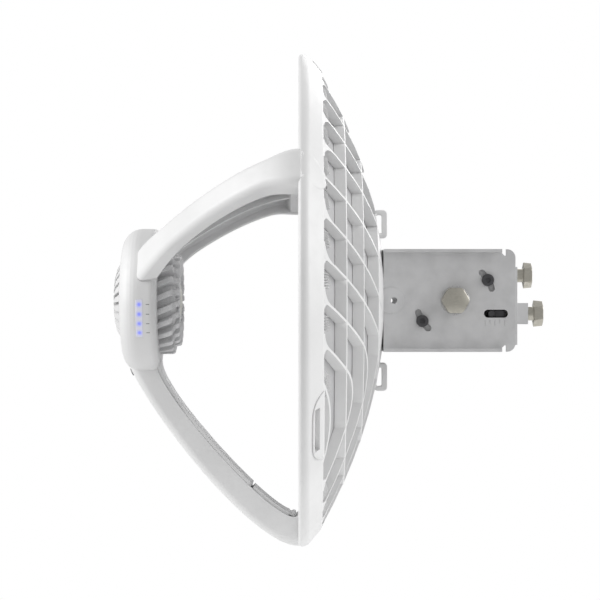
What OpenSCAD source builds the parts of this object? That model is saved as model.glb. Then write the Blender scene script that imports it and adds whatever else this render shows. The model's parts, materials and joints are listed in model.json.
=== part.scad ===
// Outdoor point-to-point wireless bridge: a ribbed dish, a radio head held at its focus by three
// arms, and a mast bracket with fine tilt and fine pan.
// Frame: +Z up and the dish looks along -X. The origin is on the mast's axis, level with the pivot.

/* [Dish] */
// Outer diameter of the dish rim
dish_d = 410; // [404:1:414]
// Height of the ribs above the back of the bowl
rib_h = 9; // [7:0.5:10]
// Thickness of the long ribs
rib_t = 2; // [1.6:0.1:2.4]
// Number of screws that hold the yoke to the hub
hub_screw_count = 4; // [4, 6]

/* [Radio head] */
// Outer diameter of the round radio housing
head_d = 120; // [116:1:122]
// Number of cooling fins on the back of the head
fin_count = 24; // [18:1:28]
// Number of status lights
led_count = 4; // [2:1:4]

/* [Arms] */
// Width of an upper arm along its middle
arm_w = 25; // [22:1:27]
// Width of the lower arm along its middle
lower_arm_w = 28; // [26:1:30]

/* [Mast bracket] */
// Diameter of the mast that the clamp closes on
mast_d = 40; // [38:1:40]
// Largest tilt up or down, in degrees
tilt_limit = 13; // [8:1:13]
// Largest fine pan to either side, in degrees
pan_limit = 10; // [6:1:10]
// Thickness of the bracket's sheet metal
sheet_t = 3; // [2.5:0.5:3]

/* [Hidden] */

$fn = 96;
gap = 0.2;            // clearance between neighbouring mouldings
run_gap = 0.05;       // radial clearance of a turning or sliding fit
screw_gap = 0.2;      // radial clearance of a screw in its hole

// Bowl: its back lies rib_h in front of the crests, which follow x = crest_x - r^2 / (4 * focal)
focal = 166.7;
crest_x = -52;                          // rib crests at the dish axis
skin_t = 2.5;
rim_r = dish_d / 2;
rim_front = -124.5;
rim_back_r = rim_r - 15;                // where the rim band meets the rib crests
seat_r = rim_r - 8;                     // radius of the seat that the bowl's edge sits in
hub_r = 45;
hub_band_r = 73;
hub_back = -54.8;                       // flat that the yoke bolts against
hub_plate_t = 4;
hub_screw_r = 33;                       // pitch radius of the hub screws
m6 = 3;                                 // shaft radius of an M6 screw
grip_angle = 12;                        // half angle of a finger grip in the rim

// Each entry is one V rib: sharp apex radius, angle at which it meets the rim, apex rounding
v_ribs = [[134, 20, 40], [97, 30, 52], [65, 40, 20], [38, 50, 10]];
ring_ribs = [118, 153];
sector_angles = [-30, 90, 210];         // centres of the three rib fields
arm_angles = [30, 150, -90];

// Head
head_r = head_d / 2;
head_front = -271;
head_back = -240;
head_wall = 2.5;
head_round = 16;                        // rounding of the front edge
head_back_round = 6;
grille_r = 33;
sink_r = 41;
sink_tip = -222.3;
feed_r = 13;
screw_ring_r = 50;                      // pitch radius of the housing screws
board_x = -256;
led_mid = -14.5;                        // angle about the dish axis of the middle of the light strip
led_span = 30;
led_x = -253.4;
led_pitch = 7.6;

// Arms: each outline is a cubic curve of [radius, x] points, from the head to the rim
upper_outer = [[head_r - 1.2, -256], [94.2, -241.8], [rim_r, -166.6], [rim_r, rim_front]];
upper_inner = [[head_r + 4, -239], [105, -222], [rim_r - 19, -165], [rim_r - 17, rim_front]];
lower_outer = [[head_r - 15.5, -270.2], [88.4, -254.8], [rim_r, -164.1], [rim_r, rim_front]];
lower_inner = [[head_r - 8.8, -238.3], [62.5, -252.8], [rim_r - 9, -132], [rim_r - 30, rim_front]];
curve_steps = 14;
cover_s = 0.87;                         // where the inner cover begins, from outer 0 to inner 1
door_t = 0.66;                          // where the port door begins along the lower arm
door_pin_t = 0.925;
door_pin_s = 0.94;
door_pin_r = 1;
arm_screw_r = 1.5;
arm_screw_head_r = 2.6;
arm_screw_seat = rim_front - 6.8;
button_t = 0.1;                         // where the reset button sits along the lower arm
button_r = 3.2;

// Bracket
mast_r = mast_d / 2;
pivot_x = 3.7;
yoke_y = 40;                            // outer face of the yoke's side plates
yoke_rear = 53.3;
yoke_half_h = 42;
flange_rear = 41.8;
flange_w = 6.5;
carriage_y = yoke_y - sheet_t - 0.5;    // outer face of the carriage's side plates
carriage_in = carriage_y - sheet_t;
carriage_front = -38;
carriage_rear = 55.2;
carriage_half_h = 34;
lock_r = 31.6;                          // radius of the arc slots about the pivot
lock_angle = 32;
lock_shaft = 2.5;
slot_w = 5.4;
drive_shaft = 4;                        // M8 thread of the two adjusting screws
drive_neck = 5.7;
drive_head_w = 19;
tilt_z = 21;                            // height of the elevation screw above the pivot
tilt_nut_x = 43;
pan_y = -24;
pan_z = -10.8;
pan_nut_x = 42;
saddle_half_h = 30.8;
saddle_half_w = 25.5;
clamp_y = 23.9;
clamp_z = 25.8;
stud_x = 28;

// ---------- helpers ----------

// Point on a cubic curve
function bez(p, t) =
    pow(1 - t, 3) * p[0] + 3 * t * pow(1 - t, 2) * p[1] + 3 * t * t * (1 - t) * p[2] + pow(t, 3) * p[3];

// Points on a circular arc
function arc(c, r, a0, a1, n = 8) =
    [for (i = [0:n]) c + r * [cos(a0 + (a1 - a0) * i / n), sin(a0 + (a1 - a0) * i / n)]];

// Point inside an arm: t runs from the head to the rim, s from the outer curve to the inner one
function arm_point(outer, inner, t, s) = bez(outer, t) * (1 - s) + bez(inner, t) * s;

function arm_strip(outer, inner, s0, s1, t0, t1) = concat(
    [for (i = [0:curve_steps]) arm_point(outer, inner, t0 + (t1 - t0) * i / curve_steps, s0)],
    [for (i = [curve_steps:-1:0]) arm_point(outer, inner, t0 + (t1 - t0) * i / curve_steps, s1)]);

function crest(r) = crest_x - r * r / (4 * focal);

// Unit normal of a path at point i
function path_dir(p, i) =
    let (d = p[min(i + 1, len(p) - 1)] - p[max(i - 1, 0)]) [-d[1], d[0]] / norm(d);

// Outline of a strip of width w that follows a path
function strip(p, w) = concat(
    [for (i = [0:len(p) - 1]) p[i] + path_dir(p, i) * w / 2],
    [for (i = [len(p) - 1:-1:0]) p[i] - path_dir(p, i) * w / 2]);

// Local z runs along +X, the dish axis
module dish_axis() {
    rotate([0, 90, 0]) children();
}

// Local x points from the dish axis towards angle phi: 0 is -Y and 90 is +Z
module at_phi(phi) {
    dish_axis() rotate([0, 0, -90 - phi]) children();
}

// Solid of revolution about the dish axis from [radius, x] points
module dish_turn(points) {
    dish_axis() rotate_extrude($fn = 120) polygon(points);
}

// Flat shape given in [radius, x], standing in the plane at angle phi
module radial_plate(phi, w) {
    at_phi(phi) rotate([90, 0, 0]) linear_extrude(w, center = true) children();
}

// Cylinder along X
module rod_x(x0, x1, r) {
    translate([x0, 0, 0]) rotate([0, 90, 0]) cylinder(h = x1 - x0, r = r);
}

// Cylinder along Y
module rod_y(y0, y1, r) {
    translate([0, y1, 0]) rotate([90, 0, 0]) cylinder(h = y1 - y0, r = r);
}

// Hexagon prism along Z, w across the flats
module hex(w, h) {
    cylinder(h = h, r = w / 2 / cos(30), $fn = 6);
}

// Box given by its two far corners
module box(a, b) {
    translate(a) cube(b - a);
}

// Copies a child to the near side (-Y) and, turned over, to the far side
module both_sides() {
    children();
    rotate([180, 0, 0]) children();
}

// ---------- dish ----------

module reflector() {
    n = 12;
    edge = seat_r - 0.4;
    back = [for (i = [0:n]) [edge * i / n, crest(edge * i / n) - rib_h]];
    front = [for (i = [n:-1:0]) [edge * i / n, crest(edge * i / n) - rib_h - skin_t]];
    color("gainsboro") dish_turn(concat(back, front));
}

// Cross-section of the rim band: a rounded front corner, then a slope back to the rib crests
function rim_outline() = concat(
    [[seat_r, rim_front]],
    arc([rim_r - 3, rim_front + 3], 3, -90, 0, 4),
    arc([rim_r - 8, rim_front + 3], 8, 0, 50, 5),
    [
        [rim_back_r + 0.8, crest(rim_back_r) + 0.4],
        [rim_back_r - 1, crest(rim_back_r) + 0.9],
        [rim_back_r - 3, crest(rim_back_r) + 0.3],
        [rim_back_r - 3, crest(rim_back_r - 3) - rib_h + gap],
        [seat_r, crest(seat_r) - rib_h + gap]
    ]);

// Volume between the bowl's back and the rib crests
module rib_zone(r0, r1) {
    n = 8;
    steps = [for (i = [0:n]) r0 + (r1 - r0) * i / n];
    dish_turn(concat(
        [for (r = steps) [r, crest(r)]],
        [for (i = [n:-1:0]) [steps[i], crest(steps[i]) - rib_h + gap]]));
}

// Centre line of a V rib in its own field: two straight legs and a rounded apex
function v_path(apex, end_angle, round_r) =
    let (
        tip = (rim_back_r - 2) * [cos(end_angle), sin(end_angle)],
        leg = atan2(tip[1], tip[0] - apex),
        centre = [apex + round_r / sin(leg), 0]
    )
    concat(
        [[tip[0], -tip[1]]],
        arc(centre, round_r, 270 - leg, 90 + leg, 8),
        [tip]);

module rib_field() {
    for (v = v_ribs) polygon(strip(v_path(v[0], v[1], v[2]), rib_t));
}

// Crescent that the finger grip takes out of the rib field
module grip_crescent(inset) {
    half_chord = rim_back_r * sin(grip_angle);
    depth = 7.8;
    r = (half_chord * half_chord + depth * depth) / (2 * depth);
    intersection() {
        circle(r = rim_back_r - 1 - inset);
        translate([rim_back_r * cos(grip_angle) - depth + r, 0]) circle(r = r - inset);
    }
}

// Pocket for the fingertips, cut square to the slope behind the rim
module finger_slot(phi) {
    half_w = 2.9;
    depth = 5;
    half_angle = 5.6;
    slope = 49.4;
    middle = [rim_r - 9.1, rim_front + 14.4];
    out = [cos(slope), sin(slope)];
    along = [-sin(slope), cos(slope)];
    at_phi(phi + half_angle) rotate_extrude(angle = 2 * half_angle) polygon([
        middle - depth * out - half_w * along, middle + 2 * out - half_w * along,
        middle + 2 * out + half_w * along, middle - depth * out + half_w * along
    ]);
}

module back_frame() {
    depth = 80;
    ring_rib_t = 1.6;
    hub_floor = hub_back - hub_plate_t;
    hub_skin = 3;
    color("white") difference() {
        union() {
            dish_turn(rim_outline());
            intersection() {
                rib_zone(hub_r, rim_back_r - 1);
                union() {
                    for (phi = sector_angles) {
                        at_phi(phi) translate([0, 0, crest_x - depth]) linear_extrude(depth) {
                            rib_field();
                            grip_crescent(0);
                        }
                    }
                    for (phi = arm_angles) {
                        at_phi(phi) translate([hub_r, -rib_t / 2, crest_x - depth])
                            cube([rim_back_r - hub_r, rib_t, depth]);
                    }
                }
            }
            for (r = ring_ribs) {
                dish_turn([
                    [r, crest(r) - rib_h + gap], [r + ring_rib_t, crest(r + ring_rib_t) - rib_h + gap],
                    [r + ring_rib_t, crest(r + ring_rib_t)], [r, crest(r)]
                ]);
            }
            dish_turn([
                [0, hub_floor], [hub_r - 3, hub_floor], [hub_r - 3, hub_back], [hub_r, crest(hub_r)],
                [hub_band_r, crest(hub_band_r)], [hub_band_r, crest(hub_band_r) - rib_h + gap],
                [hub_band_r - 2, crest(hub_band_r - 2) - rib_h + gap],
                [hub_band_r - 2, crest(hub_band_r - 2) - hub_skin],
                [hub_r, crest(hub_r) - hub_skin], [hub_r, hub_floor - 2], [0, hub_floor - 2]
            ]);
        }
        for (phi = sector_angles) {
            at_phi(phi) translate([0, 0, crest(rim_back_r - 1) - 4]) linear_extrude(depth) grip_crescent(2);
            finger_slot(phi);
        }
        hub_screw_places() rod_x(hub_floor - 5, hub_back, m6 + screw_gap);
        for (phi = arm_angles) {
            arm_screw_places(phi) rod_x(rim_front - 1, rim_front + 8.5, arm_screw_r + run_gap);
        }
    }
}

module hub_screw_places() {
    for (i = [0:hub_screw_count - 1]) {
        a = 45 + 360 * i / hub_screw_count;
        translate([0, hub_screw_r * cos(a), hub_screw_r * sin(a)]) children();
    }
}

module hub_plate() {
    color("silver") difference() {
        rod_x(hub_back - hub_plate_t, hub_back, hub_r - 3 - gap);
        hub_screw_places() rod_x(hub_back - 10, hub_back + 1, m6 + screw_gap);
    }
}

module hub_screws() {
    seat = hub_back + sheet_t;
    color("silver") hub_screw_places() {
        rod_x(hub_back - hub_plate_t - 2, seat, m6);
        rod_x(seat, seat + 4, 5);
    }
}

// Two strap loops that stand on the hub band, above and below the yoke
module tie_loops() {
    loop_z = 64;
    color("gray") difference() {
        for (side = [-1, 1]) {
            translate([0, 0, side * loop_z]) difference() {
                box([-62, -5, -11.8], [-50.2, 5, 11.8]);
                box([-59.5, -6, -7.2], [-53.6, 6, 7.2]);
            }
        }
        dish_turn(concat(
            [for (r = [0, hub_r, 54, 63, hub_band_r, 81]) [r, crest(r) + run_gap]],
            [[81, -80], [0, -80]]));
    }
}

// ---------- arms ----------

// Outline of the round housing in [radius, x], grown by g
function head_outline(g) = concat(
    [[0, head_front - g]],
    arc([head_r - head_round, head_front + head_round], head_round + g, -90, 0, 8),
    arc([head_r - head_back_round, head_back - head_back_round], head_back_round + g, 0, 90, 5),
    [[0, head_back + g]]);

// Band along X that gives an arm its width: wide at both ends and slim between
module arm_width(phi, w, inset) {
    half = [for (p = [[16, -290], [15.5, -244], [w / 2, -226], [w / 2, -152], [w / 2 + 1.2, -136],
                      [16.5, rim_front + 2]]) [p[0] - inset, p[1]]];
    other = [for (i = [len(half) - 1:-1:0]) [-half[i][0], half[i][1]]];
    at_phi(phi) rotate([90, 0, 90]) linear_extrude(rim_r + 10) polygon(concat(half, other));
}

module arm_solid(phi, outer, inner, s0, s1, t0, t1, w, inset = 0) {
    intersection() {
        radial_plate(phi, 40) polygon(arm_strip(outer, inner, s0, s1, t0, t1));
        arm_width(phi, w, inset);
    }
}

// Hood of the foot that folds over the rim and ends in a blunt point
module foot_wrap(phi) {
    lift = 0.3;
    skin = 1.3;
    grip = 3;
    bend_r = 8;
    half_w = 16;
    bend = [rim_r - bend_r, rim_front + 10];
    tip_r = rim_back_r - 2;
    tip_x = crest(rim_back_r) + 3.4;
    outline = concat(
        [[rim_r - 1, rim_front - grip], [rim_r - 1, rim_front], [rim_r + lift, rim_front]],
        arc(bend, bend_r + lift, 0, 50, 5),
        [[tip_r, tip_x], [tip_r, tip_x + 1.8]],
        arc(bend, bend_r + lift + skin, 50, 0, 5),
        [[rim_r + lift + skin, rim_front - grip]]);
    intersection() {
        dish_turn(outline);
        at_phi(phi) rotate([90, 0, 90]) linear_extrude(rim_r + 10) polygon([
            [-half_w, rim_front - grip - 1], [half_w, rim_front - grip - 1], [half_w, -112],
            [4, -95], [-4, -95], [-half_w, -112]
        ]);
    }
}

module arm_screw_places(phi) {
    for (side = [-6, 6]) {
        at_phi(phi) translate([rim_r - 6.3, side, 0]) rotate([0, -90, 0]) children();
    }
}

// Clearance hole with a counterbore for the head
module arm_screw_hole() {
    rod_x(arm_screw_seat - 1, rim_front + 2, arm_screw_r + screw_gap);
    rod_x(arm_screw_seat - 7, arm_screw_seat, arm_screw_head_r + screw_gap);
}

// Solid block that closes the channel against the rim
module arm_foot(phi, outer, inner, w) {
    block = 7;
    intersection() {
        arm_solid(phi, outer, inner, 0, 1, 0.6, 1, w);
        rod_x(rim_front - block, rim_front, rim_r + 5);
    }
}

module latch_place(phi, inner_r) {
    at_phi(phi) translate([inner_r, 0, rim_front - 3.2]) children();
}

// Upper arm, drawn pointing straight down from the dish axis
module upper_arm() {
    wall = 2.2;
    phi = -90;
    color("white") difference() {
        union() {
            difference() {
                arm_solid(phi, upper_outer, upper_inner, 0, 1, 0, 1, arm_w);
                arm_solid(phi, upper_outer, upper_inner, 0.16, 1.3, 0.07, 1, arm_w, wall);
            }
            // middle rib of the open channel
            intersection() {
                radial_plate(phi, 1.8) polygon(arm_strip(upper_outer, upper_inner, 0.1, 0.9, 0.05, 1));
                arm_width(phi, arm_w, 0.5);
            }
            arm_foot(phi, upper_outer, upper_inner, arm_w);
        }
        dish_turn(head_outline(gap));
        arm_screw_places(phi) arm_screw_hole();
        latch_place(phi, rim_r - 17) cube([8, 7.4, 3.2], center = true);
    }
    color("white") foot_wrap(phi);
}

module upper_arm_near() {
    rotate([-120, 0, 0]) upper_arm();
}

module upper_arm_far() {
    rotate([120, 0, 0]) upper_arm();
}

module lower_arm() {
    wall = 2.6;
    color("white") difference() {
        union() {
            difference() {
                arm_solid(-90, lower_outer, lower_inner, 0, cover_s - 0.005, 0, 1, lower_arm_w);
                arm_solid(-90, lower_outer, lower_inner, 0.11, 1.3, 0, 0.93, lower_arm_w, wall);
            }
            arm_foot(-90, lower_outer, lower_inner, lower_arm_w);
        }
        dish_turn(head_outline(gap));
        arm_screw_places(-90) arm_screw_hole();
        button_place() cylinder(h = 20, r = button_r + 0.15, center = true);
        door_pin_place() {
            rod_y(-13, 13, 4.4);
            rod_y(-14.8, 14.8, door_pin_r + run_gap);
        }
    }
    color("white") foot_wrap(-90);
}

module lower_arm_cover() {
    color("whitesmoke") difference() {
        arm_solid(-90, lower_outer, lower_inner, cover_s + 0.005, 1, 0.05, door_t - 0.004, lower_arm_w);
        dish_turn(head_outline(gap));
    }
}

module arm_screws() {
    color("silver") for (phi = arm_angles) {
        arm_screw_places(phi) {
            rod_x(arm_screw_seat, rim_front + 8, arm_screw_r);
            rod_x(arm_screw_seat - 2, arm_screw_seat, arm_screw_head_r);
        }
    }
}

module arm_latches() {
    color("gray") for (phi = [30, 150]) {
        latch_place(phi, rim_r - 17) translate([1.9, 0, 0]) cube([3.4, 7, 2.8], center = true);
    }
}

// ---------- radio head ----------

module head_screw_places() {
    for (i = [0:5]) {
        a = 30 + 60 * i;
        translate([0, screw_ring_r * cos(a), screw_ring_r * sin(a)]) children();
    }
}

// Slot through the side wall for the lights
module led_window(g) {
    out_r = head_r + 5;
    front = led_x - 2.6 - g;
    back = led_x + 2.6 + g;
    at_phi(led_mid + led_span / 2) rotate([0, 0, -g]) rotate_extrude(angle = led_span + 2 * g, $fn = 120)
        polygon([[head_r - 4.5, front], [out_r, front], [out_r, back], [head_r - 4.5, back]]);
}

module radio_housing() {
    color("white") difference() {
        union() {
            difference() {
                dish_turn(head_outline(0));
                dish_turn(head_outline(-head_wall));
            }
            head_screw_places() rod_x(head_back - 8, head_back - 1, 4.6);
        }
        rod_x(head_back - 5, head_back + 1, sink_r + 0.5);
        rod_x(head_front - 1, head_front + 5, grille_r + 0.3);
        led_window(0.1);
        // cable passage into the lower arm
        translate([-256, 0, -head_r]) cylinder(h = 30, r = 7, center = true);
        button_place() cylinder(h = 18, r = button_r + 0.15, center = true);
        head_screw_places() {
            rod_x(head_back - 9, head_back + 1, 1.5);
            rod_x(head_back - 2, head_back + 1, 3.1);
        }
    }
}

// Slanted cooling slots around a ring
module fin_slots(count, r0, r1, x0, x1, slot, lean) {
    for (i = [0:count - 1]) {
        at_phi(360 * (i + 0.5) / count) translate([(r0 + r1) / 2, 0, (x0 + x1) / 2]) rotate([lean, 0, 0])
            cube([r1 - r0, slot, (x1 - x0) * 1.6], center = true);
    }
}

module front_grille() {
    dome = 6.4;
    base = head_front - 1.2;
    color("gainsboro") difference() {
        dish_turn(concat(
            [[0, base - dome]],
            [for (i = [1:5]) [grille_r * i / 5, base - dome * (1 - pow(i / 5, 4))]],
            [[grille_r, head_front + 3], [0, head_front + 3]]));
        intersection() {
            fin_slots(fin_count, 15, grille_r + 3, base - dome - 2, base - 0.2, 2.6, 24);
            rod_x(base - dome - 3, base - 0.2, grille_r + 1);
        }
    }
}

module rear_heatsink() {
    base = head_back + 2;
    flange_back = head_back - head_wall - 0.8;
    color("silver") difference() {
        union() {
            rod_x(flange_back - 3, flange_back, 45.1);
            rod_x(flange_back, sink_tip, sink_r);
        }
        fin_slots(fin_count, 20, sink_r + 3, base, sink_tip + 6, 3.4, -28);
        rod_x(sink_tip - 6, sink_tip + 1, 20);
        rod_x(flange_back - 4, sink_tip + 1, feed_r + 0.3);
    }
}

module head_gasket() {
    color("dimgray") difference() {
        rod_x(head_back - head_wall - 0.8, head_back - head_wall, 44.5);
        rod_x(head_back - head_wall - 1, head_back, sink_r + 0.6);
    }
}

module head_screws() {
    color("silver") head_screw_places() {
        rod_x(head_back - 8, head_back - 2, 1.4);
        rod_x(head_back - 2, head_back - 0.2, 2.8);
    }
}

module radio_board() {
    color("darkgreen") difference() {
        rod_x(board_x, board_x + 1.6, 50);
        rod_x(board_x - 1, board_x + 3, 4);
    }
}

module rf_shield() {
    color("silver") box([board_x + 1.7, -18, -18], [board_x + 6.5, 18, 18]);
}

module feed_horn() {
    color("goldenrod") dish_turn([
        [3, -249], [feed_r, -249], [feed_r, -224.4], [11, -224.4], [3, -238]
    ]);
}

module feed_cover() {
    color("ivory") dish_turn([
        [0, -222], [8, -222.3], [feed_r, -223.4], [feed_r, -224.4], [0, -224.4]
    ]);
}

module led_board() {
    color("darkgreen") at_phi(led_mid) translate([head_r - 8.5, 0, led_x]) {
        cube([1, 28, 5], center = true);
        for (i = [0:led_count - 1]) {
            translate([1, led_pitch * (i - (led_count - 1) / 2), 0]) cube([1.2, 2, 2], center = true);
        }
    }
}

module led_lens() {
    color("lightsteelblue") intersection() {
        led_window(0);
        dish_turn(head_outline(0.1));
    }
}

// ---------- lower arm contents ----------

// Local z points out of the lower arm's outer skin at the reset button
module button_place() {
    p = arm_point(lower_outer, lower_inner, button_t, 0);
    translate([p[1], 0, -p[0]]) rotate([0, -114, 0]) children();
}

module reset_button() {
    color("lightgray") button_place() translate([0, 0, -5]) cylinder(h = 6.2, r = button_r);
}

module jack_place() {
    p = arm_point(lower_outer, lower_inner, 0.8, 0.5);
    translate([p[1], 0, -p[0]]) rotate([0, 40, 0]) children();
}

module ethernet_jack() {
    color("silver") jack_place() difference() {
        cube([19, 16, 12], center = true);
        translate([6, 0, 0]) cube([12, 12, 8], center = true);
    }
}

module port_seal() {
    color("dimgray") jack_place() difference() {
        translate([11, 0, 0]) cube([2, 19, 13], center = true);
        translate([11, 0, 0]) cube([3, 12, 8], center = true);
    }
}

// Flat data cable from the jack to the head, along the middle of the lower arm
module data_cable() {
    n = 10;
    cable_w = 5;
    path = [for (i = [0:n]) arm_point(lower_outer, lower_inner, 0.13 + 0.54 * i / n, 0.48)];
    color("dimgray") radial_plate(-90, cable_w) polygon(strip(path, cable_w));
}

module door_pin_place() {
    p = arm_point(lower_outer, lower_inner, door_pin_t, door_pin_s);
    translate([p[1], 0, -p[0]]) children();
}

module port_door() {
    half_w = lower_arm_w / 2 - 1.2;
    color("whitesmoke") difference() {
        union() {
            radial_plate(-90, 2 * half_w)
                polygon(arm_strip(lower_outer, lower_inner, cover_s + 0.015, 1, door_t + 0.004, 0.88));
            radial_plate(-90, 2 * half_w)
                polygon(arm_strip(lower_outer, lower_inner, 0.92, 0.97, 0.87, door_pin_t));
            door_pin_place() rod_y(-half_w, half_w, 1.9);
        }
        door_pin_place() rod_y(-20, 20, door_pin_r + run_gap);
    }
}

module door_pin() {
    color("silver") door_pin_place() rod_y(-14.6, 14.6, door_pin_r);
}

// ---------- mast bracket ----------

// Points of an arc without its two ends
function arc_middle(c, r, a0, a1, n = 8) =
    [for (i = [1:n - 1]) c + r * [cos(a0 + (a1 - a0) * i / n), sin(a0 + (a1 - a0) * i / n)]];

// Slot in the near side plate, an arc about the pivot that lets the plate tilt past the lock screw
module arc_slot(mid) {
    sweep = tilt_limit + 0.8;
    a0 = mid - sweep;
    a1 = mid + sweep;
    half_w = slot_w / 2;
    translate([pivot_x, 0, 0]) rotate([90, 0, 0]) translate([0, 0, 30]) linear_extrude(30) polygon(concat(
        arc([0, 0], lock_r + half_w, a0, a1, 10),
        arc_middle(lock_r * [cos(a1), sin(a1)], half_w, a1, a1 + 180),
        arc([0, 0], lock_r - half_w, a1, a0, 10),
        arc_middle(lock_r * [cos(a0), sin(a0)], half_w, a0 + 180, a0 + 360)));
}

module lock_places() {
    for (a = [lock_angle, lock_angle + 180]) {
        translate([pivot_x + lock_r * cos(a), 0, lock_r * sin(a)]) children();
    }
}

// Side plate outline in X and Z: bend reliefs near the back and rounded rear corners
module yoke_outline() {
    relief_x = flange_rear + 0.6;
    relief_w = 3.2;
    relief_h = 5.2;
    corner = 7;
    difference() {
        hull() {
            translate([hub_back, -yoke_half_h]) square([20, 2 * yoke_half_h]);
            for (side = [-1, 1]) {
                translate([yoke_rear - corner, side * (yoke_half_h - corner)]) circle(r = corner);
            }
        }
        for (side = [-1, 1]) {
            translate([relief_x, side * yoke_half_h - relief_h]) square([relief_w, 2 * relief_h]);
        }
    }
}

module yoke_side() {
    boss_x = -48.7;
    difference() {
        union() {
            translate([0, -yoke_y + sheet_t, 0]) rotate([90, 0, 0]) linear_extrude(sheet_t) yoke_outline();
            for (side = [-1, 1]) {
                translate([0, 0, side * (yoke_half_h - 1.25)])
                    box([hub_back, -yoke_y - flange_w, -1.25], [flange_rear, -yoke_y + 1, 1.25]);
            }
            intersection() {
                translate([boss_x, 0, 0]) rod_y(-yoke_y - 0.8, -yoke_y + 1, 10.6);
                box([hub_back, -50, -20], [0, 0, 20]);
            }
        }
        translate([pivot_x, 0, 0]) rod_y(-60, -30, 6 + run_gap);
        arc_slot(lock_angle);
        arc_slot(lock_angle + 180);
        translate([-46.2, 0, 0]) rod_y(-60, -30, 2.6);
    }
}

// Window over the pan pointer, with the ticks of its scale cut beside it
module pan_scale() {
    length = 19.7;
    half_h = 3.3;
    mid_x = 37.3;
    for (side = [-1, 1]) {
        translate([mid_x + side * (length / 2 - half_h), 0, pan_z]) rod_y(-60, -30, half_h);
    }
    half_span = length / 2 - half_h;
    box([mid_x - half_span, -60, pan_z - half_h], [mid_x + half_span, -30, pan_z + half_h]);
    for (i = [-2:2]) {
        tick = i % 2 == 0 ? 5 : 3.2;
        translate([mid_x - 1 + 4 * i, -yoke_y, pan_z - half_h - 1.5 - tick])
            box([-0.3, -1, 0], [0.3, 0.4, tick]);
    }
}

module dish_yoke() {
    pin_slot = 3.8;
    slot_x = tilt_nut_x - 0.5;
    color("lightgray") difference() {
        union() {
            both_sides() yoke_side();
            box([hub_back, -yoke_y, -yoke_half_h], [hub_back + sheet_t, yoke_y, yoke_half_h]);
        }
        pan_scale();
        hub_screw_places() rod_x(hub_back - 1, hub_back + 10, m6 + screw_gap);
        // far plate: upright slot for the elevation nut's pin
        for (z = [12, 31]) {
            translate([slot_x, 0, z]) rod_y(30, 60, pin_slot);
        }
        box([slot_x - pin_slot, 30, 12], [slot_x + pin_slot, 60, 31]);
    }
}

module azimuth_carriage() {
    web_low = -36.5;
    web_high = 27.5;
    tab_rear = 64.6;
    flange_front = 18;
    color("silver") difference() {
        union() {
            for (side = [-1, 1]) {
                box([carriage_front, min(side * carriage_in, side * carriage_y), -carriage_half_h],
                    [carriage_rear - sheet_t, max(side * carriage_in, side * carriage_y), carriage_half_h]);
            }
            box([carriage_rear - sheet_t, -carriage_y, web_low], [carriage_rear, carriage_y, web_high]);
            for (z = [-carriage_half_h, carriage_half_h - sheet_t]) {
                box([flange_front, -carriage_in - 0.5, z],
                    [carriage_rear - sheet_t, carriage_in + 0.5, z + sheet_t]);
            }
            box([carriage_rear - 1, pan_y - 8, pan_z - 8.7], [tab_rear, pan_y + 8, pan_z + 8.7]);
        }
        cylinder(h = 100, r = mast_r + 2, center = true);
        // arc slots that the azimuth studs ride in
        rotate([0, 0, -pan_limit - 1]) rotate_extrude(angle = 2 * pan_limit + 2)
            translate([stud_x - 4.3, -50]) square([8.6, 100]);
        for (a = [-pan_limit - 1, pan_limit + 1]) {
            rotate([0, 0, a]) translate([stud_x, 0, 0]) cylinder(h = 100, r = 4.3, center = true);
        }
        translate([pivot_x, 0, 0]) rod_y(-50, 50, 6 + run_gap);
        both_sides() lock_places() rod_y(-50, -20, lock_shaft + screw_gap);
        translate([0, 0, tilt_z]) rod_x(40, 60, drive_shaft + run_gap);
        translate([0, pan_y, pan_z]) rod_x(40, 70, drive_shaft + run_gap);
        // windows for the pan pointer and fork, and for the elevation nut's pin
        box([27, -45, -18.5], [50.5, -30, 4]);
        box([34.8, 30, tilt_z - 4], [51.6, 45, tilt_z + 4]);
    }
}

// Domed hexagon bolt along Y, its head outside the near plate
module pivot_bolt() {
    head_h = 7;
    translate([pivot_x, -yoke_y - 1.2, 0]) rotate([90, 0, 0]) {
        intersection() {
            hex(20.5, head_h + 2.5);
            translate([0, 0, head_h + 2.5 - 26]) sphere(r = 26);
            cylinder(h = head_h + 3, r = 11.2);
        }
        translate([0, 0, -12.6]) cylinder(h = 13, r = 6);
    }
}

module pivot_bolts() {
    color("tan") both_sides() pivot_bolt();
}

module pivot_washers() {
    color("silver") both_sides() translate([pivot_x, 0, 0]) difference() {
        union() {
            rod_y(-yoke_y - 1.2, -yoke_y, 12);
            rod_y(-yoke_y + sheet_t, -carriage_y, 10);
        }
        rod_y(-60, 0, 6 + run_gap);
    }
}

module pivot_nuts() {
    color("silver") both_sides() translate([pivot_x, -carriage_in, 0]) rotate([-90, 0, 0]) difference() {
        hex(17, 4.8);
        translate([0, 0, -1]) cylinder(h = 8, r = 6 + run_gap);
    }
}

module lock_screws() {
    color("dimgray") both_sides() lock_places() difference() {
        union() {
            rod_y(-yoke_y - 1, -carriage_in + 2.4, lock_shaft);
            rod_y(-yoke_y - 3.4, -yoke_y - 0.05, 5);
        }
        translate([0, -yoke_y - 1.6, 0]) rotate([90, 0, 0]) cylinder(h = 4, r = 2.3, $fn = 6);
    }
}

module lock_nuts() {
    color("silver") both_sides() lock_places() {
        translate([0, -carriage_in, 0]) rotate([-90, 0, 0]) difference() {
            hex(8, 2.2);
            translate([0, 0, -1]) cylinder(h = 5, r = lock_shaft + run_gap);
        }
    }
}

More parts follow.
